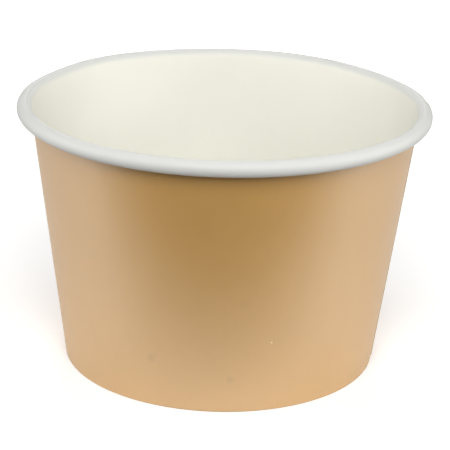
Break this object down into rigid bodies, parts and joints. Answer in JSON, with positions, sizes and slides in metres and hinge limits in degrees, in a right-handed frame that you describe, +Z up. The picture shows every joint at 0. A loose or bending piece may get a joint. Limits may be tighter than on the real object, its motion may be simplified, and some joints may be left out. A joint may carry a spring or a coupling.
{
  "type": "paper ice cream tub",
  "caption": "Round tapered paper tub for ice cream, open at the top, with a kraft-coloured outside, a white inside, a rolled rim and a recessed base.",
  "frame": {"origin": "middle of the foot, on the surface that the tub stands on", "axes": "+Z up along the tub's axis and out of its mouth; +X through the middle of the side seam; the picture was taken from the -Y side"},
  "size_m": [0.115, 0.115, 0.0746],
  "materials": {
    "kraft_board": "satin",
    "white_board": "satin"
  },
  "bodies": {
    "root": {"side_wall": "kraft_board", "base_disc": "white_board"}
  },
  "joints": []
}
